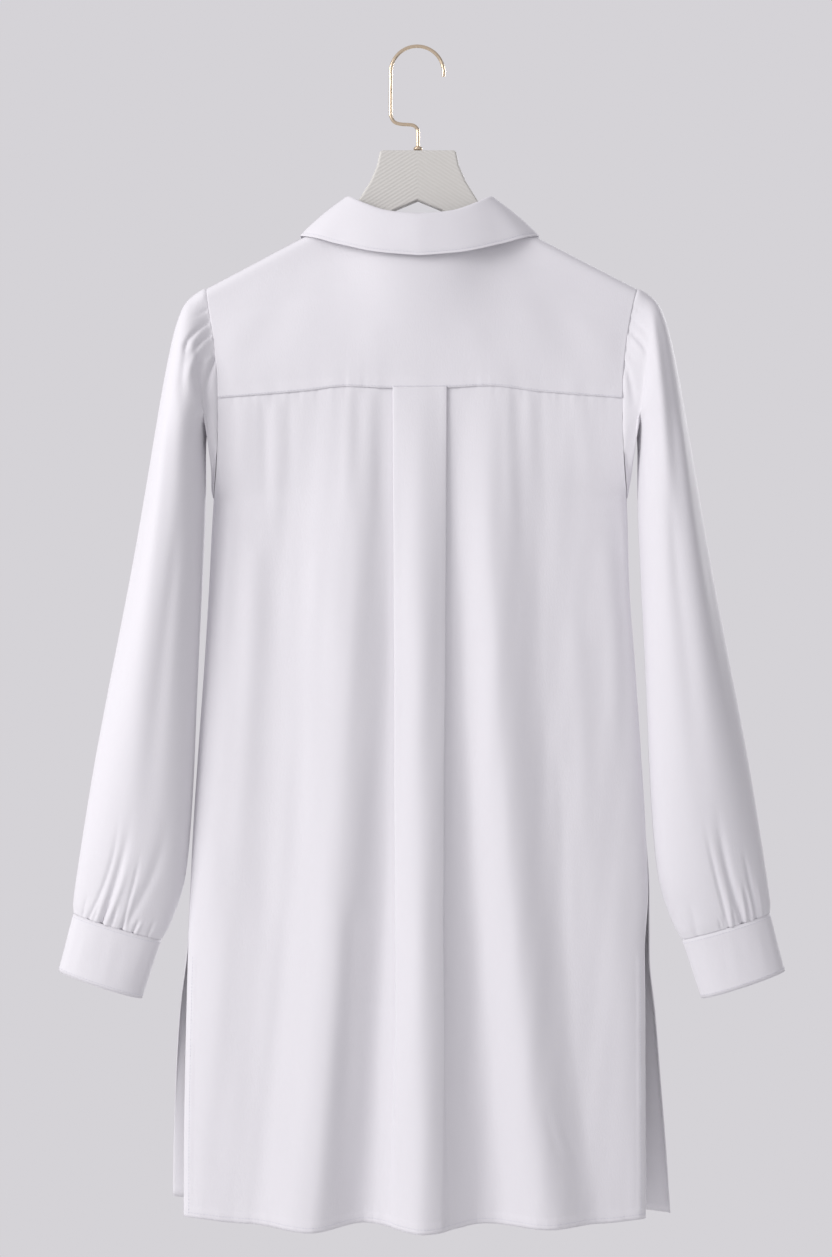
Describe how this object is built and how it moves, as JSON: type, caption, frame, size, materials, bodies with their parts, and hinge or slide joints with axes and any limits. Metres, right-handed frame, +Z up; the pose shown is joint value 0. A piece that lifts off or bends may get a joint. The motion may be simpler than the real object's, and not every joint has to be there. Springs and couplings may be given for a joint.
{
  "type": "long-sleeved pleated shirt on a clothes hanger",
  "caption": "Long white shirt hanging on a flat shaped hanger: open cloth walls, back yoke with a box pleat, gathered sleeves, buttoned cuffs, turned-down collar, side slits.",
  "frame": {"origin": "inner top of the hook's crown, where a rail carries the hanger", "axes": "+Z up; +Y out of the shirt's back; +X to the wearer's left"},
  "size_m": [0.6754, 0.1025, 1.0947],
  "materials": {
    "white_cloth": "fine plain weave, soft sheen",
    "button_white": "smooth",
    "greige_paint": "painted, fine chevron grooves",
    "champagne_metal": "satin, pale gold"
  },
  "bodies": {
    "root": {"back_yoke": "white_cloth", "back_panel": "white_cloth", "front_left": "white_cloth", "front_right": "white_cloth", "placket": "white_cloth", "sleeve_left": "white_cloth", "sleeve_right": "white_cloth", "cuff_left": "white_cloth", "cuff_right": "white_cloth", "collar_stand": "white_cloth", "collar_leaf": "white_cloth", "button_1": "button_white", "button_2": "button_white", "button_3": "button_white", "button_4": "button_white", "button_5": "button_white", "button_6": "button_white", "button_7": "button_white", "cuff_button_left": "button_white", "cuff_button_right": "button_white", "hanger_plate": "greige_paint", "hook": "champagne_metal", "hook_collar": "champagne_metal"}
  },
  "joints": []
}
